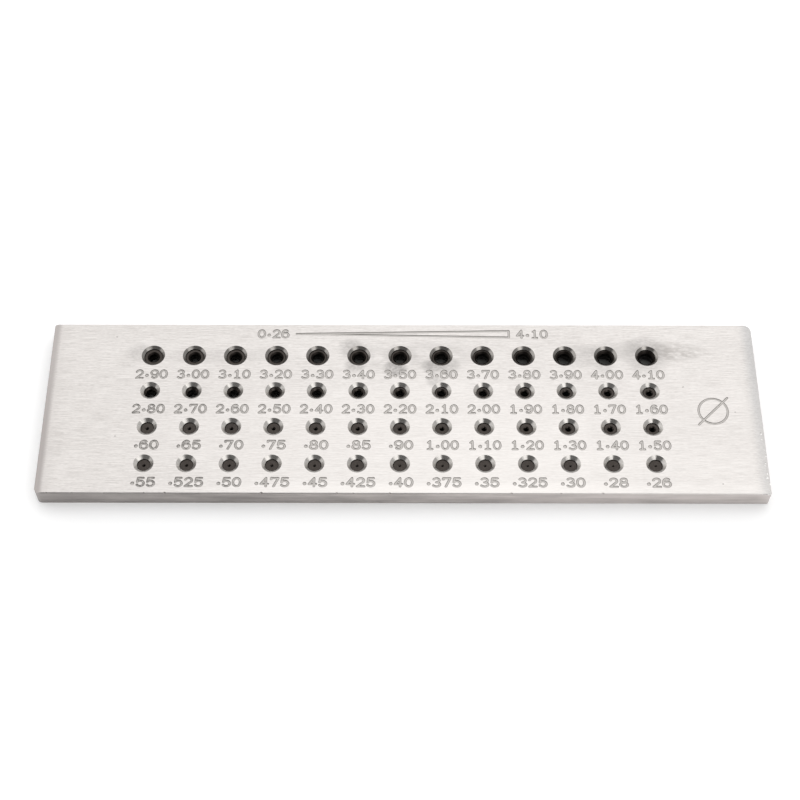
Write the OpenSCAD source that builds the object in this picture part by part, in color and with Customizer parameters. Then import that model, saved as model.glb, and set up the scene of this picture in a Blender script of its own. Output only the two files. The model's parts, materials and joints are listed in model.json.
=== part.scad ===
// Wire draw plate: a ground steel plate that carries four rows of hard-metal dies.
// Wire goes in at the back of a die and is pulled out through the numbered front face.
// X runs along the rows, Y across them, and Z from the back face, at 0, to the front face.

/* [Plate] */
// Length of the plate, along the rows
plate_length = 217.4; // [190:0.1:260]
// Width of the plate, across the rows
plate_width = 59.6; // [54:0.1:90]
// Thickness of the plate, from its back face to its front face
plate_thickness = 6.35; // [5.6:0.05:7.8]
// Radius of the upright corner at the left of row 1
far_left_radius = 0.4; // [0.2:0.1:4]
// Radius of the upright corner at the right of row 1
far_right_radius = 2; // [0.2:0.1:4]
// Radius of the upright corner at the left of row 4
near_left_radius = 2; // [0.2:0.1:4]
// Radius of the upright corner at the right of row 4
near_right_radius = 0.7; // [0.2:0.1:4]
// Length over which the front face rolls off at the left end
left_roll_length = 2.5; // [0.8:0.1:5]
// Drop of the front face at the left end
left_roll_drop = 0.75; // [0.3:0.05:0.9]
// Length over which the front face rolls off at the right end
right_roll_length = 4.6; // [0.8:0.1:5]
// Drop of the front face at the right end
right_roll_drop = 0.75; // [0.3:0.05:0.9]
// Slope at which the left roll starts, as a share of its mean slope
left_roll_start = 0.2; // [0.1:0.05:0.8]
// Slope at which the right roll starts, as a share of its mean slope
right_roll_start = 0.2; // [0.1:0.05:0.8]
// Break along the other edges of the two faces
edge_break = 0.2; // [0.1:0.05:0.5]

/* [Grid of dies] */
// Dies in each row
columns = 13; // [8:1:14]
// Distance from one column of dies to the next
column_pitch = 12.7; // [10:0.1:14]
// Distance from one row of dies to the next
row_pitch = 12.7; // [10:0.1:14]
// Shift of the grid's middle from the plate's, along the rows
grid_shift_x = -0.85; // [-4:0.05:4]
// Shift of the grid's middle from the plate's, across the rows
grid_shift_y = -0.75; // [-2:0.05:2]

/* [Bores] */
// First bore of row 1, whose bores grow by the coarse step
row1_first_bore = 2.9; // [2.4:0.05:3.2]
// First bore of row 2, whose bores shrink by the coarse step
row2_first_bore = 2.8; // [2:0.05:2.9]
// First bore of row 3, whose bores grow by the fine step, then by the coarse one
row3_first_bore = 0.6; // [0.5:0.05:1.2]
// First bore of row 4, whose bores shrink by the finest step, then by the last one
row4_first_bore = 0.55; // [0.45:0.025:0.7]
// Coarse step between bores
coarse_step = 0.1; // [0.05:0.01:0.12]
// Fine step between bores
fine_step = 0.05; // [0.02:0.01:0.08]
// Finest step between bores
finest_step = 0.025; // [0.01:0.005:0.03]
// Last step, between the smallest bores
last_step = 0.02; // [0.01:0.005:0.05]
// Fine steps in row 3
fine_steps = 6; // [1:1:7]
// Finest steps in row 4
finest_steps = 10; // [1:1:10]

/* [Large dies, row 1] */
// Outside diameter of a large die
large_die_diameter = 8; // [7.2:0.1:9]
// Diameter of the opening that shows a large die at the front
large_sight_diameter = 5.65; // [5.2:0.05:6.6]
// Diameter of its countersink at the front face
large_countersink_diameter = 7.2; // [6.8:0.1:8]

/* [Small dies, rows 2 to 4] */
// Outside diameter of a small die
small_die_diameter = 6; // [5.8:0.1:7.5]
// Diameter of the opening that shows a small die at the front
small_sight_diameter = 4.1; // [3.5:0.05:4.8]
// Diameter of its countersink at the front face
small_countersink_diameter = 6.05; // [5.2:0.05:6.5]

/* [Seats] */
// Included angle of the countersinks
countersink_angle = 90; // [75:1:120]
// Straight land of the lip, between a countersink and its die
lip_land = 0.3; // [0.15:0.05:0.8]
// Depth of the dies below the back face
back_recess = 0.35; // [0.1:0.05:0.8]
// Chamfer round each pocket's mouth in the back face
pocket_chamfer = 0.3; // [0.1:0.05:0.6]
// Gap that the braze fills between a die and its pocket's wall
die_clearance = 0.05; // [0.02:0.01:0.1]

/* [Die form] */
// Chamfer on a die's two outer edges
die_chamfer = 0.2; // [0.1:0.05:0.25]
// Included angle of the relief, where the wire leaves
relief_angle = 90; // [60:1:100]
// Least depth of the relief
least_relief = 0.2; // [0.1:0.05:0.4]
// What a relief's depth gains with its bore, as a share of it
relief_ratio = 0.1; // [0:0.01:0.12]
// Length of the bearing, which sets the wire's size, as a share of its bore
bearing_ratio = 0.35; // [0.2:0.05:0.5]
// Least length of a bearing
least_bearing = 0.15; // [0.1:0.05:0.4]
// Included angle of the approach, which squeezes the wire down
approach_angle = 16; // [8:1:20]
// Included angle of the entry cone
entry_angle = 60; // [40:1:70]
// Depth of the entry cone
entry_depth = 1.2; // [0.6:0.1:1.5]
// Radius of the bell that rounds the entry's mouth
bell_radius = 0.3; // [0.1:0.05:0.35]

/* [Hidden] */
rows = 4;
arc_steps = 12;
bell_steps = 6;
overcut = 1;
$fn = 64;

steel_colour = [0.9, 0.88, 0.86];
carbide_colour = [0.27, 0.27, 0.28];

ROWS = [1 : rows];
COLUMNS = [1 : columns];

// A die's bore, place and class follow from its row and column
function bore(row, column) =
    let (i = column - 1)
    row == 1 ? row1_first_bore + i * coarse_step :
    row == 2 ? row2_first_bore - i * coarse_step :
    row == 3 ? row3_first_bore + min(i, fine_steps) * fine_step + max(i - fine_steps, 0) * coarse_step :
    row4_first_bore - min(i, finest_steps) * finest_step - max(i - finest_steps, 0) * last_step;

function die_x(column) = grid_shift_x + (column - (columns + 1) / 2) * column_pitch;
function die_y(row) = grid_shift_y + ((rows + 1) / 2 - row) * row_pitch;
function die_diameter(row) = row == 1 ? large_die_diameter : small_die_diameter;
function sight_diameter(row) = row == 1 ? large_sight_diameter : small_sight_diameter;
function countersink_diameter(row) = row == 1 ? large_countersink_diameter : small_countersink_diameter;
function countersink_depth(row) =
    (countersink_diameter(row) - sight_diameter(row)) / 2 / tan(countersink_angle / 2);

// Height of the shoulder that a die is pressed up against
function shoulder_z(row) = plate_thickness - countersink_depth(row) - lip_land;
function relief_depth(row, column) = least_relief + relief_ratio * bore(row, column);
function bearing_length(row, column) = max(least_bearing, bearing_ratio * bore(row, column));
function die_name(row, column) = str("die_row", row, "_", column < 10 ? "0" : "", column);

function arc(centre, radius, from, to, steps) =
    [for (i = [0 : steps])
        let (a = from + (to - from) * i / steps)
        centre + radius * [cos(a), sin(a)]];

// One rounded corner of the outline, in the direction given by the two signs
function corner(sign_x, sign_y, radius, from) =
    arc([sign_x * (plate_length / 2 - radius), sign_y * (plate_width / 2 - radius)],
        radius, from, from + 90, arc_steps);

// Outline seen from the front, with its corners rounded
module plate_outline() {
    polygon(concat(
        corner(1, 1, far_right_radius, 0),
        corner(-1, 1, far_left_radius, 90),
        corner(-1, -1, near_left_radius, 180),
        corner(1, -1, near_right_radius, 270)));
}

// Arc from the front face down to an end, for an end that faces +X
function roll(length, drop, start) =
    let (mean = atan2(drop, length),
        first = start * mean,
        radius = norm([length, drop]) / (2 * sin(mean - first)),
        centre = [plate_length / 2 - length, plate_thickness] - radius * [sin(first), cos(first)])
    arc(centre, radius, 90 - first, 90 - 2 * mean + first, arc_steps);

// Profile along the plate: the front face rolls off at each end
module length_profile() {
    x = plate_length / 2;
    left = roll(left_roll_length, left_roll_drop, left_roll_start);
    right = roll(right_roll_length, right_roll_drop, right_roll_start);
    polygon(concat(
        [[-x + edge_break, 0], [x - edge_break, 0], [x, edge_break]],
        [for (i = [len(right) - 1 : -1 : 0]) right[i]],
        [for (point = left) [-point.x, point.y]],
        [[-x, edge_break]]));
}

// Profile across the plate: its edge breaks run on past both faces
module width_profile() {
    y = plate_width / 2;
    in = edge_break + overcut;
    polygon([
        [-y + in, -overcut], [y - in, -overcut], [y, edge_break], [y, plate_thickness - edge_break],
        [y - in, plate_thickness + overcut], [-y + in, plate_thickness + overcut],
        [-y, plate_thickness - edge_break], [-y, edge_break]]);
}

// What is cut away for one die: a pocket from the back, the lip's opening and the countersink
module seat_cut(row) {
    pocket_r = die_diameter(row) / 2 + die_clearance;
    mouth_r = pocket_r + pocket_chamfer + overcut;
    sight_r = sight_diameter(row) / 2;
    rim_r = countersink_diameter(row) / 2 + overcut * tan(countersink_angle / 2);
    rotate_extrude()
        polygon([
            [0, -overcut], [mouth_r, -overcut], [pocket_r, pocket_chamfer], [pocket_r, shoulder_z(row)],
            [sight_r, shoulder_z(row)], [sight_r, shoulder_z(row) + lip_land],
            [rim_r, plate_thickness + overcut], [0, plate_thickness + overcut]]);
}

module plate() {
    color(steel_colour)
    difference() {
        intersection() {
            translate([0, 0, -overcut])
                linear_extrude(plate_thickness + 2 * overcut) plate_outline();
            rotate([90, 0, 0])
                linear_extrude(plate_width + 2 * overcut, center = true) length_profile();
            rotate([90, 0, 90])
                linear_extrude(plate_length + 2 * overcut, center = true) width_profile();
        }
        for (row = ROWS)
            for (column = COLUMNS)
                translate([die_x(column), die_y(row), 0]) seat_cut(row);
    }
}

// One die, turned about the wire: bell, entry cone and approach at the back, then the bearing and the relief
module die(row, column) {
    back = back_recess;
    front = shoulder_z(row);
    outer_r = die_diameter(row) / 2;
    bore_r = bore(row, column) / 2;
    relief = relief_depth(row, column);
    relief_start = front - relief;
    bearing_start = relief_start - bearing_length(row, column);
    entry_start = back + entry_depth;
    entry_r = bore_r + (bearing_start - entry_start) * tan(approach_angle / 2);
    bell_centre = [
        entry_r + (entry_depth - bell_radius) * tan(entry_angle / 2) + bell_radius / cos(entry_angle / 2),
        back + bell_radius];
    translate([die_x(column), die_y(row), 0])
    color(carbide_colour)
    rotate_extrude()
        polygon(concat(
            [[outer_r - die_chamfer, back], [outer_r, back + die_chamfer],
            [outer_r, front - die_chamfer], [outer_r - die_chamfer, front],
            [bore_r + relief * tan(relief_angle / 2), front], [bore_r, relief_start],
            [bore_r, bearing_start], [entry_r, entry_start]],
            arc(bell_centre, bell_radius, 180 + entry_angle / 2, 270, bell_steps)));
}

plate();
for (row = ROWS)
    for (column = COLUMNS)
        die(row, column);
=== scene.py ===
# %% [markdown]
# # A wire draw plate
# A draw plate turns thick wire into thin. The wire's pointed end goes in at the back of a hard die, tongs
# pull it out at the front, and each die in turn leaves it a little thinner. This plate holds 52 carbide
# dies, each with its bore in millimetres engraved below it.
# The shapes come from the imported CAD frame, so this lesson adds what a drawing of solids lacks: engraved
# numbers, marks of grinding and turning, small knocks, and the finish of each metal.

# %% Load the frame
import json
import math
import random

import bpy
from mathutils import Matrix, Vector


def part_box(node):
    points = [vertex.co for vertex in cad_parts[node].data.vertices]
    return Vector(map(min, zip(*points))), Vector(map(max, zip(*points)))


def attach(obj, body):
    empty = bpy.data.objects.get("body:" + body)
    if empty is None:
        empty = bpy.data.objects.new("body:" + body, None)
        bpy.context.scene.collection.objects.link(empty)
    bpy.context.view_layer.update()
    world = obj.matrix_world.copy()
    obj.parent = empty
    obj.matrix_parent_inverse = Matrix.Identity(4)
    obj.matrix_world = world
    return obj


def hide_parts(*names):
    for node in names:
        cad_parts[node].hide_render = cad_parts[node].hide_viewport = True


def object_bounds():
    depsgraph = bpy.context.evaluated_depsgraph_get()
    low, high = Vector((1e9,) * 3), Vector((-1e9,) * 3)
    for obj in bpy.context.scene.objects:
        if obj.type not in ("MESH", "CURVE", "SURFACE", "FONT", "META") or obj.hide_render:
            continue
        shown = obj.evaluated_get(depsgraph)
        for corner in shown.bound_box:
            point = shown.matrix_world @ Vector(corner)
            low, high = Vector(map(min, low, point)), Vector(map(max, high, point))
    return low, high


MM = 0.001
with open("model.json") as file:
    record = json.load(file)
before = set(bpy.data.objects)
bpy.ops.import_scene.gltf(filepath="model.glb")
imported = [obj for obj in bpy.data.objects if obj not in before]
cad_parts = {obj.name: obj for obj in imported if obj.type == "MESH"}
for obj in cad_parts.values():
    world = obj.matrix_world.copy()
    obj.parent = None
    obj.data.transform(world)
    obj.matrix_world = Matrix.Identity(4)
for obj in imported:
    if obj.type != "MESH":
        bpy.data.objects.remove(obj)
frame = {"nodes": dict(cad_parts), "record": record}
scene = bpy.context.scene
cad_low, cad_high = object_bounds()
print("CAD box in mm:", [round(v / MM, 2) for v in (*cad_low, *cad_high)])

# %% [markdown]
# ## Camera
# The photograph looks down on the plate from the front, with a long lens: the far edge is only a little
# shorter than the near one. The four corners of the plate and the grid of dies fix the lens, the height
# of the camera and its distance.

# %% Camera
LENS_MM = 74.2
SENSOR_MM = 36
CAMERA_HEIGHT = math.radians(58.8)
CAMERA_ROLL = math.radians(0.09)
CAMERA_DISTANCE = 501.2 * MM
CAMERA_AIM = Vector((-0.83, 2.3, 6.35)) * MM

towards_camera = Vector((0, -math.cos(CAMERA_HEIGHT), math.sin(CAMERA_HEIGHT)))
bpy.ops.object.select_all(action="DESELECT")
bpy.ops.object.camera_add(location=CAMERA_AIM + towards_camera * CAMERA_DISTANCE)
camera = bpy.context.object
camera.name = "camera"
camera.rotation_mode = "ZYX"
camera.rotation_euler = (math.pi / 2 - CAMERA_HEIGHT, 0, CAMERA_ROLL)
camera.data.lens = LENS_MM
camera.data.sensor_width = SENSOR_MM
scene.camera = camera
scene.view_settings.view_transform = "Standard"
print("camera at", [round(v / MM, 1) for v in camera.location], "mm")

# %% [markdown]
# ## Sums with sockets
# Every finish below is a small sum of patterns. Wiring Math nodes by hand hides the sum, so one class
# wraps an output socket and turns Python's operators into Math nodes. Its method node() adds any other
# node: first the node's settings, then the values or links of its inputs.

# %% Sums with sockets
class Signal:
    """An output socket of a node tree, to do sums with."""

    def __init__(self, socket):
        self.socket = socket

    def node(self, kind, settings=None, inputs=None, output=0):
        """Adds a node to the same tree, and gives one of its outputs."""
        tree = self.socket.id_data
        made = tree.nodes.new(kind)
        for name, setting in (settings or {}).items():
            setattr(made, name, setting)
        for name, value in (inputs or {}).items():
            if isinstance(value, Signal):
                tree.links.new(value.socket, made.inputs[name])
            else:
                made.inputs[name].default_value = value
        return Signal(made.outputs[output])

    def math(self, operation, first, second=0.0):
        return self.node("ShaderNodeMath", {"operation": operation}, {0: first, 1: second})

    def __add__(self, other):
        return self.math("ADD", self, other)

    def __radd__(self, other):
        return self.math("ADD", other, self)

    def __sub__(self, other):
        return self.math("SUBTRACT", self, other)

    def __rsub__(self, other):
        return self.math("SUBTRACT", other, self)

    def __mul__(self, other):
        return self.math("MULTIPLY", self, other)

    def __rmul__(self, other):
        return self.math("MULTIPLY", other, self)

    def __truediv__(self, other):
        return self.math("DIVIDE", self, other)

    def __pow__(self, other):
        return self.math("POWER", self, other)

    def __abs__(self):
        return self.math("ABSOLUTE", self)

    def rise(self, low, high):
        """0 below low, 1 above high, and a smooth step between."""
        return self.node(
            "ShaderNodeMapRange",
            {"interpolation_type": "SMOOTHSTEP"},
            {"Value": self, "From Min": low, "From Max": high},
        )

    def part(self, axis):
        """The X, Y or Z of a vector."""
        return self.node("ShaderNodeSeparateXYZ", inputs={"Vector": self}, output=axis)

    def blend(self, first, second):
        """From the first colour, where this is 0, to the second, where it is 1."""
        return self.node(
            "ShaderNodeMix",
            {"data_type": "RGBA"},
            {0: self, 6: first, 7: second},
            output=2,
        )


def new_finish(name):
    """A material: its shader's inputs by name, and the place on the piece, in metres."""
    material = bpy.data.materials.new(name)
    material.use_nodes = True
    tree = material.node_tree
    shader = tree.nodes["Principled BSDF"]
    place = Signal(tree.nodes.new("ShaderNodeTexCoord").outputs["Object"])
    return material, shader.inputs, place


def feed(socket, signal):
    """Links a signal to one of a shader's inputs."""
    socket.id_data.links.new(signal.socket, socket)


print("signals and finishes are ready")

# %% [markdown]
# ## Studio light
# The plate lies in a white light tent. Metal shows what stands round it, and lamps all round would show
# their edges in the face. So the tent is drawn as light by direction: brightest overhead and at the back,
# and dimmer in front. A soft box hangs over the plate, and the countersinks show a dark gap in front on the
# left, beside the camera. The camera alone sees plain white. The strong light from the back throws the
# one clear shadow, along the front of the plate.

# %% World
ZENITH_LIGHT = 1.05
HORIZON_LIGHT = 0.775
BACK_LIGHT = 0.37
RIGHT_LIGHT = 0.15
LOW_LEFT_LIGHT = 0.18
LOW_RIGHT_SHADE = 0.27
BOX_DIRECTION = Vector((0.06, 0.38, 0.92)).normalized()
BOX_ANGLES = (22, 6)
BOX_LIGHT = 0.22
GAP_DIRECTION = Vector((-0.43, -0.75, 0.49)).normalized()
GAP_ANGLES = (43, 26)
GAP_LIGHT = 0.13


def cone_about(view, direction, outer, inner):
    """1 within the inner angle of a direction, fading to 0 at the outer one, in degrees."""
    nearness = view.node(
        "ShaderNodeVectorMath",
        {"operation": "DOT_PRODUCT"},
        {0: view, 1: direction},
        output="Value",
    )
    return nearness.rise(math.cos(math.radians(outer)), math.cos(math.radians(inner)))


studio = bpy.data.worlds.new("studio")
studio.use_nodes = True
scene.world = studio
world_nodes = studio.node_tree.nodes
view = Signal(world_nodes.new("ShaderNodeTexCoord").outputs["Generated"])
sideways = view.part("X")
tent = HORIZON_LIGHT + (ZENITH_LIGHT - HORIZON_LIGHT) * view.part("Z").rise(-0.1, 0.75)
tent = tent + BACK_LIGHT * view.part("Y") + RIGHT_LIGHT * sideways.rise(-0.6, 0.2)
tent = tent + LOW_LEFT_LIGHT * (1 - sideways.rise(-0.9, -0.5))
tent = tent - LOW_RIGHT_SHADE * sideways.rise(0.5, 0.9)
tent = tent + BOX_LIGHT * cone_about(view, BOX_DIRECTION, *BOX_ANGLES)
gap = cone_about(view, GAP_DIRECTION, *GAP_ANGLES)
tent = tent + gap * (GAP_LIGHT - tent)
seen = Signal(world_nodes.new("ShaderNodeLightPath").outputs["Is Camera Ray"])
feed(world_nodes["Background"].inputs["Strength"], tent + seen * (1 - tent))
world_nodes["Background"].inputs["Color"].default_value = (1, 1, 1, 1)
print("light tent from", HORIZON_LIGHT, "at the horizon to", ZENITH_LIGHT, "overhead")

# %% [markdown]
# ## Screen
# A low screen stands close to the plate, in front on the right. Light by direction alone is the same for
# every die, but each countersink along a row mirrors a near screen at another place, as the photograph
# shows. So the screen is an area lamp of a real size. It is seen in mirrored light only, and it is dim, or
# the face would go white in views from behind.

# %% Screen
SCREEN_LEFT = Vector((103, -381, 160)) * MM
SCREEN_RIGHT = Vector((202, -113, 160)) * MM
SCREEN_TALL = 150 * MM
SCREEN_LIGHT = 1.1

screen_line = SCREEN_RIGHT - SCREEN_LEFT
bpy.ops.object.select_all(action="DESELECT")
bpy.ops.object.light_add(
    type="AREA",
    location=(SCREEN_LEFT + SCREEN_RIGHT) / 2,
    rotation=(math.pi / 2, 0, math.atan2(screen_line.y, screen_line.x)),
)
screen = bpy.context.object
screen.name = "screen"
screen.data.shape = "RECTANGLE"
screen.data.size = screen_line.length
screen.data.size_y = SCREEN_TALL
screen.data.energy = SCREEN_LIGHT * math.pi * screen_line.length * SCREEN_TALL
screen.visible_camera = False
screen.visible_diffuse = False
print("screen", round(screen_line.length / MM), "mm wide, with", round(screen.data.energy, 2), "W")

# %% [markdown]
# ## Floor
# The floor is white paper. A weak glow, for the camera and for mirrored rays only, lifts it to white, and
# it still takes the plate's shadow. Under the plate it is painted grey, a painted shade, and has no glow, so
# that the bores stay dark.

# %% Floor
FLOOR_SIZE = 8
FLOOR_GAP = 0.02 * MM
FLOOR_WHITE = (0.98, 0.98, 0.98, 1)
FLOOR_SHADE_GREY = (0.32, 0.32, 0.31, 1)
FLOOR_LIFT = 0.165
FLOOR_FADE = 2 * MM

bpy.ops.object.select_all(action="DESELECT")
bpy.ops.mesh.primitive_plane_add(size=FLOOR_SIZE, location=(0, 0, cad_low.z - FLOOR_GAP))
floor = bpy.context.object
floor.name = "floor"
paper = bpy.data.materials.new("white_paper")
paper.use_nodes = True
paper_nodes = paper.node_tree.nodes
paper_nodes.remove(paper_nodes["Principled BSDF"])
light_path = paper_nodes.new("ShaderNodeLightPath").outputs
camera_ray = Signal(light_path["Is Camera Ray"])
shown = camera_ray + Signal(light_path["Is Glossy Ray"]) + Signal(light_path["Is Transmission Ray"])
spread = Signal(paper_nodes.new("ShaderNodeTexCoord").outputs["Object"])
beyond_end = abs(spread.part("X")).rise(cad_high.x - FLOOR_FADE, cad_high.x)
beyond_side = abs(spread.part("Y")).rise(cad_high.y - FLOOR_FADE, cad_high.y)
open_floor = beyond_end.math("MAXIMUM", beyond_end, beyond_side)
# painted shade: the floor under the plate is painted grey, as the shade the plate casts on it
floor_colour = open_floor.blend(FLOOR_SHADE_GREY, FLOOR_WHITE)
matt = camera_ray.node("ShaderNodeBsdfDiffuse", inputs={"Color": floor_colour})
lift = camera_ray.node("ShaderNodeEmission", inputs={"Strength": FLOOR_LIFT * shown * open_floor})
both = camera_ray.node("ShaderNodeAddShader", inputs={0: matt, 1: lift})
feed(paper_nodes["Material Output"].inputs["Surface"], both)
floor.data.materials.append(paper)
print("floor", FLOOR_SIZE, "m wide at", round(floor.location.z / MM, 3), "mm")

# %% [markdown]
# ## Where the dies are
# Each die's bore is a mount in the record: its place, its radius and its name. Reading them here keeps
# every number under the right die, even if the grid in the CAD model moves.

# %% Where the dies are
plate_low, plate_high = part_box("plate")
face_z = plate_high.z
dies = []
for mount in frame["record"]["mounts"]:
    if mount["kind"] == "bore":
        row, column = (int(word) for word in mount["name"].removeprefix("bore_row").split("_"))
        dies.append((row, column, Vector(mount["pos_m"]), 2 * mount["dims"]["r_mm"]))
xs = sorted({round(place.x, 6) for row, column, place, bore in dies})
ys = sorted({round(place.y, 6) for row, column, place, bore in dies})
pitch_x = (xs[-1] - xs[0]) / (len(xs) - 1)
pitch_y = (ys[-1] - ys[0]) / (len(ys) - 1)
print(len(dies), "dies,", len(xs), "columns of", round(pitch_x / MM, 2), "mm and", len(ys), "rows")

# %% [markdown]
# ## Patterns
# Three patterns serve every finish. Noise with a size along each axis gives scratches, streaks or specks, a
# spot marks one place on the face, and a bump turns heights into the way the surface leans. They read the
# place on the piece, so they stay put when it is seen from another side.

# %% Patterns
def noise(place, size_x, size_y, size_z, seed, detail=3.0):
    """Noise whose grains have these sizes in mm."""
    spread = place.node(
        "ShaderNodeMapping",
        inputs={
            "Vector": place,
            "Location": (seed * 3.7, seed * 5.3, seed * 7.1),
            "Scale": (1 / (size_x * MM), 1 / (size_y * MM), 1 / (size_z * MM)),
        },
    )
    return place.node(
        "ShaderNodeTexNoise",
        inputs={"Vector": spread, "Scale": 1.0, "Detail": detail, "Roughness": 0.55},
    )


def spot(place, x, y, reach_x, reach_y):
    """1 at a point on the face, fading to 0 at these distances in mm."""
    along = (place.part("X") - x * MM) / (reach_x * MM)
    across = (place.part("Y") - y * MM) / (reach_y * MM)
    return 1 - (along * along + across * across).rise(0.0, 1.0)


def spots(place, marks):
    """Several spots added up; a mark is a strength, then a spot's point and distances."""
    return sum(strength * spot(place, *where) for strength, *where in marks)


def bump(place, heights, distance_mm):
    """The Normal of a surface that these heights roughen."""
    return place.node(
        "ShaderNodeBump",
        inputs={"Strength": 1.0, "Distance": distance_mm * MM, "Height": heights},
    )


print("noise, spots and bumps are ready")

# %% [markdown]
# ## Ground steel
# The plate's faces were ground on a belt, which leaves fine scratches along its length and a pale satin
# shine. Noise that is stretched along X gives the scratches at two scales, and a third makes faint bands.
# The middle of the face and a strip along its near edge are painted brighter, a painted pool of light.

# %% Ground steel
STEEL_LIT = (0.78, 0.751, 0.725, 1)
STEEL_PALE = (0.675, 0.647, 0.626, 1)
STEEL_GREY = (0.489, 0.463, 0.444, 1)

ground, inputs, place = new_finish("ground_face")
scratches = noise(place, 6, 0.22, 0.22, 1)
hairs = noise(place, 1.3, 0.13, 0.13, 2, 2.0)
bands = noise(place, 40, 8, 8, 3)
tone = 0.56 + 2.0 * (scratches - 0.5) + 1.3 * (hairs - 0.5) + 0.35 * (bands - 0.5)
colour = tone.rise(0.0, 1.0).blend(STEEL_GREY, STEEL_PALE)
along = place.part("X")
across = place.part("Y")
# painted light: the middle of the face and a strip along its near edge are painted brighter, as a pool of
# light from above
lit_middle = 0.2 * along.rise(-60 * MM, 40 * MM) * (1 - across.rise(-25 * MM, 25 * MM))
lit_middle = lit_middle + 0.18 * spot(place, 0, -14, 90, 32)
lit_near_strip = along.rise(-80 * MM, -20 * MM) * (1 - 0.4 * along.rise(30 * MM, 90 * MM))
lit_near_strip = lit_near_strip * (1 - across.rise(-28 * MM, -25 * MM))
colour = (lit_middle + 0.32 * lit_near_strip).blend(colour, STEEL_LIT)
inputs["Metallic"].default_value = 1.0
print("finish:", ground.name, "with scratches")

# %% [markdown]
# ## Ends and smudges
# The rolled ends were dressed by hand and are duller. The left one is also painted darker, most of all on
# its near half, as painted shade, and the right one is a duller bluish grey. Use has left speckled grey
# smudges on the front, mostly round the first row, and a mottled brown smear beside its largest die. Each is
# a spot of its own, broken up by noise, so that its edge isn't a clean ellipse.

# %% Ends and smudges
LEFT_END_DULL_AND_SHADE = (0.40, 0.37, 0.358, 1)
RIGHT_END_GREY = (0.39, 0.40, 0.41, 1)
SMUDGE_GREY = (0.36, 0.344, 0.332, 1)
SMEAR_BROWN = (0.295, 0.275, 0.258, 1)
LEFT_ROLL = 2.5
RIGHT_ROLL = 4.6
SMUDGES = [
    (0.65, -14.6, 14.8, 4.0, 3.2),
    (0.95, -2.4, 13.5, 4.5, 3.6),
    (0.5, 14.4, 14.2, 4.0, 4.5),
    (0.55, 9.1, 14.4, 4.2, 3.6),
    (0.4, 9.8, 9.2, 3.4, 3.0),
    (0.6, -16.0, 21.2, 4.6, 4.2),
    (0.38, -81.6, 19.2, 5.0, 4.4),
    (0.24, -58.0, 18.2, 26.0, 3.6),
    (0.36, 56.8, 18.2, 11.0, 5.2),
    (0.45, 75.2, 18.3, 8.5, 8.5),
    (0.12, 74.5, 23.2, 7.0, 2.6),
    (0.3, 62.0, 14.0, 3.5, 3.5),
    (0.07, 67.0, -10.0, 16.0, 9.0),
]
DULL_PATCHES = [(0.36, 3, 18, 24, 6.5), (0.3, 70, 20, 16, 5)]
SMEARS = [(0.6, 83, 19.7, 13, 4.2)]

towards_far = across.rise(-25 * MM, 20 * MM)
from_left = (along - plate_low.x) / (LEFT_ROLL * MM)
# painted shade: the left rolled end is painted darker than its dull finish alone, most of all on its near
# half
left_end_dull_and_shade = 0.72 * (1 - from_left.rise(0.4, 1.1)) + 0.25 * (1 - from_left.rise(0.0, 3.0))
colour = (left_end_dull_and_shade * (1.15 - 0.31 * towards_far)).blend(colour, LEFT_END_DULL_AND_SHADE)
from_right = (plate_high.x - along) / (RIGHT_ROLL * MM)
right_end = 1 - from_right.rise(0.2, 1.0)
colour = (right_end * (0.28 + 0.16 * towards_far)).blend(colour, RIGHT_END_GREY)
front = place.part("Z").rise(0.4 * face_z, 0.6 * face_z)
patchy = noise(place, 5, 3, 3, 4).rise(0.25, 0.6)
speckle = noise(place, 0.9, 0.6, 0.6, 12).rise(0.35, 0.6)
smudge = spots(place, SMUDGES) * (0.3 + 0.4 * patchy + 0.5 * speckle)
smudge = (smudge + spots(place, DULL_PATCHES) * patchy) * front
colour = smudge.blend(colour, SMUDGE_GREY)
mottle = noise(place, 2.2, 1.1, 1.1, 5).rise(0.25, 0.7)
colour = (spots(place, SMEARS) * mottle * front).blend(colour, SMEAR_BROWN)
feed(inputs["Base Color"], colour)
feed(inputs["Roughness"], 0.30 + 0.16 * scratches + 0.1 * smudge)
feed(inputs["Normal"], bump(place, scratches + 0.5 * hairs, 0.003))
print("finish:", ground.name, "with", len(SMUDGES) + len(SMEARS), "marks")

# %% [markdown]
# ## Sawn sides
# The plate's sides were sawn and hardly ground, so they are duller than its face. Their colour is also
# painted darker, a painted shade for the dim floor that they mirror, a little darker towards the bottom, and
# painted lighter towards the right, a painted light from that side. Noise that is long in X and thin in Z
# gives the saw's streaks, and a softer one the clouds between them.

# %% Sawn sides
SAWN_PALE = (0.69, 0.642, 0.622, 1)
SAWN_DARK = (0.268, 0.251, 0.243, 1)

sawn, inputs, place = new_finish("sawn_side")
lines = noise(place, 25, 5, 0.25, 6)
cloud = noise(place, 14, 4, 3, 7)
height = (place.part("Z") - plate_low.z) / (plate_high.z - plate_low.z)
lit_from_right = place.part("X").rise(plate_low.x, plate_high.x) ** 1.4
# painted light and shade: the sides are painted darker than the face, and painted lighter towards the right,
# as light from that side
tone = 0.21 + 0.1 * height.rise(0.0, 1.1) + 0.40 * lit_from_right
tone = tone + 0.7 * (lines - 0.5) + 0.6 * (cloud - 0.5)
feed(inputs["Base Color"], tone.rise(0.0, 0.9).blend(SAWN_DARK, SAWN_PALE))
feed(inputs["Roughness"], 0.38 + 0.2 * lines)
feed(inputs["Normal"], bump(place, lines, 0.006))
inputs["Metallic"].default_value = 1.0
print("finish:", sawn.name)

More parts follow.
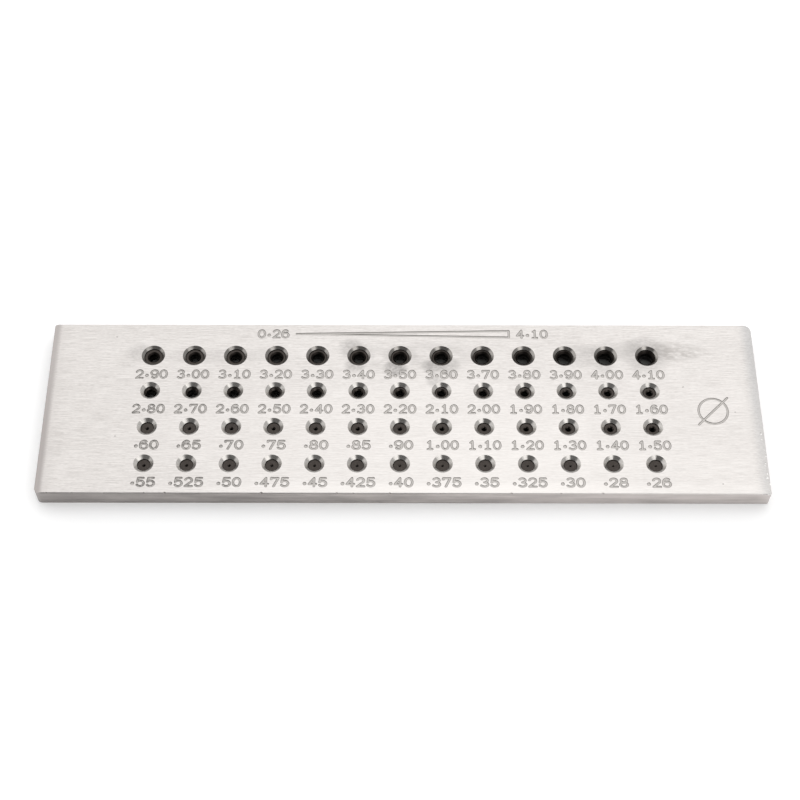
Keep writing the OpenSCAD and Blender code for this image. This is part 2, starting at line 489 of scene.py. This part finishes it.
# %% [markdown]
# ## Turned countersinks
# A cutter turned the countersinks, which leaves fine rings round each hole and a brighter shine. To draw
# rings round 52 holes at once, X and Y are folded back into one cell of the grid. A pale film on the wall
# nearest the camera makes it less metallic. Row 1 has hardly any film. It is duller, and the left wall of
# each of its countersinks is painted darker, a painted shade.

# %% Turned countersinks
TURNED_PALE = (0.64, 0.614, 0.586, 1)
TURNED_DARK = (0.42, 0.401, 0.381, 1)
TURNED_DULL = (0.33, 0.31, 0.29, 1)
TURNED_SHADE = (0.1, 0.094, 0.088, 1)
TURNING_STEP = 0.12


def fold(coordinate, start, pitch):
    """The distance from the middle of the nearest cell of a grid."""
    cells = (coordinate - (start - pitch / 2)) / pitch
    return (cells.math("FRACT", cells) - 0.5) * pitch


def behind_axis(place):
    """How far a place is behind the nearest die's axis, in mm."""
    return fold(place.part("Y"), ys[0], pitch_y) / MM


def beside_axis(place):
    """How far a place is to the right of the nearest die's axis, in mm."""
    return fold(place.part("X"), xs[0], pitch_x) / MM


def radius_in_cell(place):
    """The distance from the nearest die's axis, in mm."""
    square = beside_axis(place) ** 2 + behind_axis(place) ** 2
    return square.math("SQRT", square)


def in_first_row(place):
    """1 round the dies of row 1, 0 round the others."""
    return place.part("Y").rise(ys[-2] + 0.4 * pitch_y, ys[-2] + 0.6 * pitch_y)


turned, inputs, place = new_finish("turned_cone")
radius = radius_in_cell(place)
wave = radius.math("SINE", radius * (2 * math.pi / TURNING_STEP))
grain = noise(place, 1.2, 1.2, 1.2, 8)
tone = 0.55 + 0.12 * wave + 1.0 * (grain - 0.5)
colour = tone.rise(0.0, 1.0).blend(TURNED_DARK, TURNED_PALE)
first_row = in_first_row(place)
film = (1 - behind_axis(place).rise(-2.6, -0.8)) * (1 - 0.8 * first_row)
colour = (0.85 * first_row).blend(colour, TURNED_DULL)
# painted shade: the left wall of each countersink in row 1 is painted darker
row1_left_shade = first_row * (1 - beside_axis(place).rise(-2.8, -0.8))
feed(inputs["Base Color"], (0.5 * row1_left_shade).blend(colour, TURNED_SHADE))
feed(inputs["Roughness"], 0.14 + 0.10 * grain)
feed(inputs["Normal"], bump(place, wave, 0.0015))
feed(inputs["Metallic"], 0.84 - 0.55 * film)
print("finish:", turned.name)

# %% [markdown]
# ## Engraved grooves
# A groove's sloping walls are painted darker than its flat floor, a painted shade, so the depth under the
# face picks the colour.
# Dirt has stayed in the numbers at the left, most of all in the lower rows.

# %% Engraved grooves
GROOVE_DEPTH = 0.15
GROOVE_FLOOR = (0.50, 0.478, 0.455, 1)
GROOVE_WALL_SHADE = (0.295, 0.276, 0.262, 1)
GROOVE_DIRT = (0.15, 0.141, 0.133, 1)

engraved, inputs, place = new_finish("engraved_groove")
dirt_and_shade = noise(place, 0.7, 0.7, 0.7, 9)
depth = (face_z - place.part("Z")) / (GROOVE_DEPTH * MM)
# painted shade: a groove's sloping walls are painted darker than its flat floor
colour = depth.rise(0.75, 0.95).blend(GROOVE_WALL_SHADE, GROOVE_FLOOR)
left = 1 - place.part("X").rise(-85 * MM, -15 * MM)
lower = 1 - place.part("Y").rise(-12 * MM, 14 * MM)
soil = dirt_and_shade.rise(0.3, 0.7) * (0.02 + 0.45 * left + 0.4 * left * lower)
feed(inputs["Base Color"], soil.blend(colour, GROOVE_DIRT))
feed(inputs["Roughness"], 0.40 + 0.2 * dirt_and_shade)
feed(inputs["Normal"], bump(place, dirt_and_shade, 0.01))
inputs["Metallic"].default_value = 0.9
print("finish:", engraved.name)

# %% [markdown]
# ## Bare dents
# Where something hit the right end, the metal is bare and bright, with tiny flakes. Fine noise in the
# colour and the bump breaks its shine into sparkles.

# %% Bare dents
DENT_PALE = (0.8, 0.786, 0.77, 1)
DENT_GREY = (0.5, 0.485, 0.467, 1)

dented, inputs, place = new_finish("bare_dent")
flakes = noise(place, 0.5, 0.5, 0.5, 11)
feed(inputs["Base Color"], flakes.rise(0.3, 0.6).blend(DENT_GREY, DENT_PALE))
feed(inputs["Roughness"], 0.2 + 0.2 * flakes)
feed(inputs["Normal"], bump(place, flakes, 0.02))
inputs["Metallic"].default_value = 1.0
print("finish:", dented.name)

# %% [markdown]
# ## The plate
# The plate is the CAD solid with its numbers cut in. The CAD mesh itself is never changed, so a copy of it
# is merged into one skin. Each face then gets the finish of the tool that made it: the grinder's flat
# faces, the saw's sides or the cutter's holes. A face's place and direction tell which.

# %% Copy the plate
FINISHES = [ground, sawn, turned, engraved, dented]
GROUND, SAWN, TURNED, ENGRAVED, DENTED = range(len(FINISHES))
MERGE_GAP = 0.0005 * MM


def only(piece):
    """Selects one object alone, as a click on it does."""
    bpy.ops.object.select_all(action="DESELECT")
    piece.select_set(True)
    bpy.context.view_layer.objects.active = piece


def merge(piece):
    """Joins the corners that lie on each other, so that the piece is one closed skin."""
    only(piece)
    bpy.ops.object.mode_set(mode="EDIT")
    bpy.ops.mesh.select_all(action="SELECT")
    bpy.ops.mesh.remove_doubles(threshold=MERGE_GAP)
    bpy.ops.mesh.normals_make_consistent(inside=False)
    bpy.ops.object.mode_set(mode="OBJECT")


plate = bpy.data.objects.new("engraved_plate", frame["nodes"]["plate"].data.copy())
scene.collection.objects.link(plate)
merge(plate)
bpy.ops.mesh.customdata_custom_splitnormals_clear()
plate.data.materials.clear()
for finish in FINISHES:
    plate.data.materials.append(finish)
print("plate copied,", len(plate.data.vertices), "corners")

# %% Sort its faces by tool
NEAR = 0.001 * MM
EDGE_MARGIN = 5 * MM
UPRIGHT = 0.3


def is_flat(face):
    """Whether a face lies wholly in one of the six planes that bound the plate."""
    corners = [plate.data.vertices[i].co for i in face.vertices]
    return any(
        all(abs(corner[axis] - limit[axis]) < NEAR for corner in corners)
        for axis in range(3)
        for limit in (plate_low, plate_high)
    )


def tool_of(face):
    """The finish of the tool that made a face of the plate."""
    middle = face.center
    margin_x = min(middle.x - plate_low.x, plate_high.x - middle.x)
    margin_y = min(middle.y - plate_low.y, plate_high.y - middle.y)
    if min(margin_x, margin_y) < EDGE_MARGIN:
        return SAWN if abs(face.normal.z) < UPRIGHT else GROUND
    return GROUND if is_flat(face) else TURNED


for face in plate.data.polygons:
    face.material_index = tool_of(face)


def count_faces(index):
    """How many of the plate's faces have one of its finishes."""
    return sum(face.material_index == index for face in plate.data.polygons)


print("plate faces: ground, sawn, turned", [count_faces(i) for i in (GROUND, SAWN, TURNED)])

# %% [markdown]
# ## Numbers
# The numbers were engraved by a machine whose cutter is a small cone with a flat tip. It follows single
# lines, so a digit is a set of strokes, and its groove has a flat floor, sloping walls, round ends and the
# same width all along. The cutter's profile swept along each stroke, with a cone at each open end, is what
# it removes. The parts of a digit are united first, since a cut with overlapping parts would leave scraps
# of surface inside the groove.

# %% Strokes of the digits
ARC_STEP = 12


def arc(x, y, radius_x, radius_y, start, end):
    """Points on part of an ellipse, from one angle to another, in degrees."""
    steps = max(3, round(abs(end - start) / ARC_STEP))
    turns = [math.radians(start + (end - start) * i / steps) for i in range(steps + 1)]
    return [(x + radius_x * math.cos(turn), y + radius_y * math.sin(turn)) for turn in turns]


DIGITS = {
    "0": [arc(0.5, 0.5, 0.5, 0.5, 0, 360)],
    "1": [[(0.2, 0.8), (0.5, 1)], [(0.5, 1), (0.5, 0)], [(0.15, 0), (0.85, 0)]],
    "2": [arc(0.5, 0.71, 0.46, 0.29, 165, -35) + [(0.03, 0)], [(0.03, 0), (1, 0)]],
    "3": [arc(0.48, 0.755, 0.42, 0.245, 150, -90), arc(0.48, 0.255, 0.5, 0.255, 90, -150)],
    "4": [[(0.72, 0), (0.72, 1)], [(0.72, 1), (0, 0.28)], [(0, 0.28), (1, 0.28)]],
    "5": [[(0.9, 1), (0.17, 1)], [(0.17, 1), (0.08, 0.5)], arc(0.48, 0.33, 0.5, 0.33, 140, -150)],
    "6": [arc(0.5, 0.5, 0.5, 0.5, 50, 180) + [(0, 0.32)], arc(0.5, 0.32, 0.5, 0.32, 0, 360)],
    "7": [[(0.02, 0.86), (0.02, 1)], [(0.02, 1), (1, 1)], [(1, 1), (0.38, 0)]],
    "8": [arc(0.5, 0.76, 0.4, 0.24, 0, 360), arc(0.5, 0.26, 0.5, 0.26, 0, 360)],
    "9": [arc(0.5, 0.68, 0.5, 0.32, 0, 360), [(1, 0.68)] + arc(0.5, 0.5, 0.5, 0.5, 0, -130)],
}
print("strokes for", len(DIGITS), "digits")

# %% Cutters for the digits
DIGIT_WIDTH = 1.95
DIGIT_HEIGHT = 2.75
TIP_RADIUS = 0.19
GROOVE_HALF = 0.36
ABOVE = 0.1
PLUNGE_SIDES = 20
POINT_SIZE = 1.6
POINT_DROP = DIGIT_HEIGHT / 6
SAME_POINT = 1e-6
WIDEN = (GROOVE_HALF - TIP_RADIUS) / GROOVE_DEPTH
TOP_RADIUS = GROOVE_HALF + WIDEN * ABOVE


def polyline(name, points, closed):
    """A curve object of straight lines through points in mm."""
    path = bpy.data.curves.new(name, "CURVE")
    path.dimensions = "3D"
    spline = path.splines.new("POLY")
    spline.points.add(len(points) - 1)
    for point, (x, y) in zip(spline.points, points):
        point.co = (x * MM, y * MM, 0, 1)
    spline.use_cyclic_u = closed
    made = bpy.data.objects.new(name, path)
    scene.collection.objects.link(made)
    return made


profile = polyline(
    "cutter_profile",
    [(-TIP_RADIUS, -GROOVE_DEPTH), (TIP_RADIUS, -GROOVE_DEPTH), (TOP_RADIUS, ABOVE), (-TOP_RADIUS, ABOVE)],
    True,
)


def sweep(points, closed):
    """What the cutter removes along points in mm, as a mesh."""
    made = polyline("stroke", points, closed)
    made.data.twist_mode = "Z_UP"
    made.data.bevel_mode = "OBJECT"
    made.data.bevel_object = profile
    made.data.use_fill_caps = True
    only(made)
    bpy.ops.object.convert(target="MESH")
    merge(made)
    return made


def plunge(x, y, grow=1.0):
    """What the cutter removes where it goes in at one point, in mm; a point of a number is a wider one."""
    spread = grow * GROOVE_HALF - GROOVE_HALF
    bpy.ops.object.select_all(action="DESELECT")
    bpy.ops.mesh.primitive_cone_add(
        vertices=PLUNGE_SIDES,
        radius1=(TIP_RADIUS + spread) * MM,
        radius2=(TOP_RADIUS + spread) * MM,
        depth=(GROOVE_DEPTH + ABOVE) * MM,
        location=(x * MM, y * MM, (ABOVE - GROOVE_DEPTH) / 2 * MM),
    )
    bpy.ops.object.transform_apply()
    return bpy.context.object


def combine(piece, other, operation):
    """Unites a piece with another or cuts the other out of it, and removes the other."""
    only(piece)
    change = piece.modifiers.new("combine", "BOOLEAN")
    change.operation = operation
    change.solver = "MANIFOLD"
    change.object = other
    bpy.ops.object.modifier_apply(modifier=change.name)
    bpy.data.objects.remove(other)


def engraving(strokes):
    """One cutter for a sign whose strokes are given in mm."""
    parts = []
    for stroke in strokes:
        closed = math.dist(stroke[0], stroke[-1]) < SAME_POINT
        parts.append(sweep(stroke[:-1] if closed else stroke, closed))
        if not closed:
            parts += [plunge(*stroke[0]), plunge(*stroke[-1])]
    whole = parts[0]
    for other in parts[1:]:
        combine(whole, other, "UNION")
    return whole


def scaled(strokes):
    """Strokes of a digit's unit box, in mm, with the digit's middle at the origin."""
    return [[((x - 0.5) * DIGIT_WIDTH, (y - 0.5) * DIGIT_HEIGHT) for x, y in stroke] for stroke in strokes]


cutters = {sign: engraving(scaled(strokes)) for sign, strokes in DIGITS.items()}
cutters["."] = plunge(0, -POINT_DROP, POINT_SIZE)
print("cutter faces:", {sign: len(cutter.data.polygons) for sign, cutter in cutters.items()})

# %% Lay out the numbers
DIGIT_ADVANCE = 2.78
POINT_ADVANCE = 1.8
FIRST_POINT_ADVANCE = 1.65
FIRST_POINT_SHIFT = 0.3
WIDE_DIGITS = 1.08
NUMBER_DROP = [6.85, 6.5, 6.35, 6.3]

stamped = []


def stamp(cutter, x, y, stretch=1.0):
    """A copy of a cutter, drawn out along X, at a point of the front face, in metres."""
    copy = bpy.data.objects.new("stamp", cutter.data.copy())
    copy.location = (x, y, face_z)
    copy.scale.x = stretch
    scene.collection.objects.link(copy)
    stamped.append(copy)


def engrave(text, x, y):
    """A number at a place on the front face, in metres; wider and to the right if it begins with a point."""
    stretch = WIDE_DIGITS if text[0] == "." else 1.0
    widths = [POINT_ADVANCE if sign == "." else stretch * DIGIT_ADVANCE for sign in text]
    if text[0] == ".":
        widths[0] = FIRST_POINT_ADVANCE
        x += FIRST_POINT_SHIFT * MM
    pen = x - sum(widths) * MM / 2
    for sign, width in zip(text, widths):
        stamp(cutters[sign], pen + width * MM / 2, y, 1.0 if sign == "." else stretch)
        pen += width * MM


def label(bore):
    """A bore as it is engraved: two decimals, or three where they are needed, and no leading 0."""
    text = f"{bore:.3f}"
    return text.removesuffix("0").removeprefix("0")


for row, column, place, bore in dies:
    engrave(label(bore), place.x, place.y - NUMBER_DROP[row - 1] * MM)
print(len(dies), "numbers of", len(stamped), "signs, such as", label(dies[0][3]), "and", label(dies[-1][3]))

# %% [markdown]
# ## Range and diameter sign
# Above the rows, the smallest and the largest bore stand at the two ends of a long wedge, which says that
# the plate runs from thin wire to thick. At the right is the sign for a diameter, since every number on
# the plate is one.

# %% Range and diameter sign
RANGE_Y = 26.3
RANGE_HALF = 33.0
RANGE_GAP = 7.2
WEDGE_HALF = 1.2
SIGN_X = 94.0
SIGN_Y = -1.5
SIGN_RADIUS = 4.4
SIGN_SLASH = 6.6

smallest = min(bore for row, column, place, bore in dies)
largest = max(bore for row, column, place, bore in dies)
engrave(f"{smallest:.2f}", -(RANGE_HALF + RANGE_GAP) * MM, RANGE_Y * MM)
engrave(f"{largest:.2f}", (RANGE_HALF + RANGE_GAP) * MM, RANGE_Y * MM)
wedge = engraving(
    [
        [(-RANGE_HALF, 0), (RANGE_HALF, WEDGE_HALF)],
        [(RANGE_HALF, WEDGE_HALF), (RANGE_HALF, -WEDGE_HALF)],
        [(RANGE_HALF, -WEDGE_HALF), (-RANGE_HALF, 0)],
    ]
)
stamp(wedge, 0, RANGE_Y * MM)
reach = SIGN_SLASH * math.sqrt(0.5)
circle = [(SIGN_RADIUS * x, SIGN_RADIUS * y) for x, y in arc(0, 0, 1, 1, 0, 360)]
diameter = engraving([circle, [(-reach, -reach), (reach, reach)]])
stamp(diameter, SIGN_X * MM, SIGN_Y * MM)
print("range", smallest, "to", largest, "and a diameter sign", 2 * SIGN_RADIUS, "mm wide")

# %% [markdown]
# ## The cut
# All signs are joined and cut out of the plate at once, which is much quicker than one cut after another.
# A cutter's faces carry the groove's finish, and the cut leaves that finish on the plate's new faces.

# %% Cut the numbers in
def finish_all(piece, index):
    """Gives every face of a cutter one of the plate's finishes, which the cut then shows."""
    piece.data.materials.clear()
    for finish in FINISHES:
        piece.data.materials.append(finish)
    for face in piece.data.polygons:
        face.material_index = index


for cutter in (*cutters.values(), wedge, diameter, profile):
    bpy.data.objects.remove(cutter)
bpy.ops.object.select_all(action="DESELECT")
for copy in stamped:
    copy.select_set(True)
bpy.context.view_layer.objects.active = stamped[0]
bpy.ops.object.join()
bpy.ops.object.transform_apply()
grooves = bpy.context.object
finish_all(grooves, ENGRAVED)
combine(plate, grooves, "DIFFERENCE")
print("plate with numbers:", len(plate.data.polygons), "faces")

# %% [markdown]
# ## Knocks
# Years on a bench have left small knocks along the near edge, pits in the face, and dents at the right end
# and its near corner. Each is a shallow scoop, so an uneven ball that dips a little way into the metal cuts
# it. A knock shows sawn steel, a pit holds dirt, and a dent is bare. The balls are united first, as the
# strokes were.

# %% Knocks
EDGE_KNOCKS = [-104.8, -97.2, -87.8, -76.3, -70.1, -41.6, -19.3, -14.6, -3.7, 11.0, 32.1, 46.5, 58.9]
PITS = [(94.5, -26.5), (100.6, -1.8), (85.6, 7.1), (-88.9, 25.1), (-86.3, -10.5)]
END_DENTS = [-9.1, -11.2, -14.6, -16.7, -19.1, -20.1, -22.8, -24.2, -26.2, -28.4]
CORNER_DENTS = 4
ROLL_DROP = 0.75
KNOCK_RADIUS = 0.6
KNOCK_DEPTH = 0.16
PIT_RADIUS = 0.5 * KNOCK_RADIUS
PIT_DEPTH = 0.45 * KNOCK_DEPTH
DENT_STRETCH = 2.0

scoops = []
dice = random.Random(7)


def scoop(point, outward, radius, depth, finish, stretch=1.3):
    """An uneven ball that dips to a depth, in mm, at a point in metres, from a direction."""
    bpy.ops.object.select_all(action="DESELECT")
    bpy.ops.mesh.primitive_uv_sphere_add(
        segments=18,
        ring_count=11,
        radius=radius * MM,
        location=point + Vector(outward).normalized() * (radius - depth) * MM,
        rotation=(0, 0, dice.uniform(0, math.pi)),
        scale=(dice.uniform(0.6, 1.0), dice.uniform(1.0, stretch), 1),
    )
    bpy.ops.object.transform_apply()
    finish_all(bpy.context.object, finish)
    scoops.append(bpy.context.object)


def on_roll(inset, y):
    """A point of the right roll's face, at a distance in mm from the plate's end and at a Y in metres."""
    drop = ROLL_DROP * (1 - inset / RIGHT_ROLL) ** 2
    return Vector((plate_high.x - inset * MM, y, face_z - drop * MM))


for x in EDGE_KNOCKS:
    size = dice.uniform(0.7, 1.2)
    point = Vector((x * MM, plate_low.y, face_z))
    scoop(point, (0, -1, 1), KNOCK_RADIUS * size, KNOCK_DEPTH + KNOCK_DEPTH * size, SAWN)
for x, y in PITS:
    point = Vector((x * MM, y * MM, face_z))
    scoop(point, (0, 0, 1), PIT_RADIUS, PIT_DEPTH, ENGRAVED)
for y in END_DENTS:
    point = on_roll(dice.uniform(0.2, 1.1), y * MM)
    size = dice.uniform(0.5, 1.1)
    depth = KNOCK_DEPTH * dice.uniform(0.6, 1.1)
    scoop(point, (0.3, 0, 1), KNOCK_RADIUS * size, depth, DENTED, DENT_STRETCH)
for i in range(CORNER_DENTS):
    point = on_roll(0.3 + 3.0 * i / CORNER_DENTS, plate_low.y)
    size = dice.uniform(0.8, 1.4)
    depth = KNOCK_DEPTH * dice.uniform(1.2, 2.0)
    scoop(point, (0.2, -0.7, 1), KNOCK_RADIUS * size, depth, DENTED, DENT_STRETCH)
knocks = scoops[0]
for other in scoops[1:]:
    combine(knocks, other, "UNION")
combine(plate, knocks, "DIFFERENCE")
print(len(scoops), "knocks")

# %% [markdown]
# ## Smooth and flat
# Smooth shading over a face as wide as the plate would drag the shade of its rounded ends across it, so
# the flat faces stay flat and only the curved ones are smoothed, up to an angle.

# %% Smooth and flat
SMOOTH_ANGLE = math.radians(24)

only(plate)
bpy.ops.object.shade_smooth_by_angle(angle=SMOOTH_ANGLE)
for face in plate.data.polygons:
    if is_flat(face):
        face.use_smooth = False
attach(plate, "root")
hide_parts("plate")
triangles = sum(len(face.vertices) - 2 for face in plate.data.polygons)
print("plate:", triangles, "triangles,", count_faces(ENGRAVED), "engraved faces")

# %% [markdown]
# ## Carbide dies
# A die is sintered carbide, dark grey, and lapped on its face and in its bore, which leaves faint rings
# round the wire's path. The corner under the lip and the inside of the large bores of row 1 are painted
# near black, as painted shade. Its shape is right in the CAD model, so the nodes stay and get only this
# finish.

# %% Carbide dies
CARBIDE_DARK = (0.035, 0.030, 0.027, 1)
CARBIDE_PALE = (0.071, 0.062, 0.056, 1)
CORNER_SHADE = (0.008, 0.006, 0.005, 1)
CORNER_WIDTH = 0.35
LAPPING_STEP = 0.21
BORE_SHADE = 0.7
BORE_FADE = 0.2 * MM


def opening(middle):
    """The radius of the lip's opening round a die's axis, in mm."""
    offsets = (vertex.co - middle for vertex in frame["nodes"]["plate"].data.vertices)
    return min(math.hypot(offset.x, offset.y) for offset in offsets) / MM


carbide, inputs, place = new_finish("lapped_carbide")
radius = radius_in_cell(place)
wave = radius.math("SINE", radius * (2 * math.pi / LAPPING_STEP))
grain = noise(place, 0.35, 0.35, 0.35, 10)
tone = 0.45 + 0.2 * wave + 1.2 * (grain - 0.5)
large, small = (opening(dies[i][2]) for i in (0, -1))
corner = radius - (small + (large - small) * in_first_row(place))
die_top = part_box("die_row1_01")[1].z
height = place.part("Z")
inside = height.rise(0.4 * face_z, 0.5 * face_z) * (1 - height.rise(die_top - BORE_FADE, die_top))
# painted shade: the corner under the lip and the inside of row 1's large bores are painted near black
dirt_and_shade = corner.rise(-CORNER_WIDTH, 0.0) + BORE_SHADE * inside * in_first_row(place)
colour = tone.rise(0.0, 1.0).blend(CARBIDE_DARK, CARBIDE_PALE)
feed(inputs["Base Color"], dirt_and_shade.blend(colour, CORNER_SHADE))
feed(inputs["Roughness"], 0.24 + 0.12 * grain + 0.2 * dirt_and_shade)
feed(inputs["Normal"], bump(place, wave + grain, 0.0006))
inputs["Metallic"].default_value = 1.0
for row, column, place, bore in dies:
    node = frame["nodes"][f"die_row{row}_{column:02d}"]
    node.data.materials.clear()
    node.data.materials.append(carbide)
print("carbide on", len(dies), "dies")
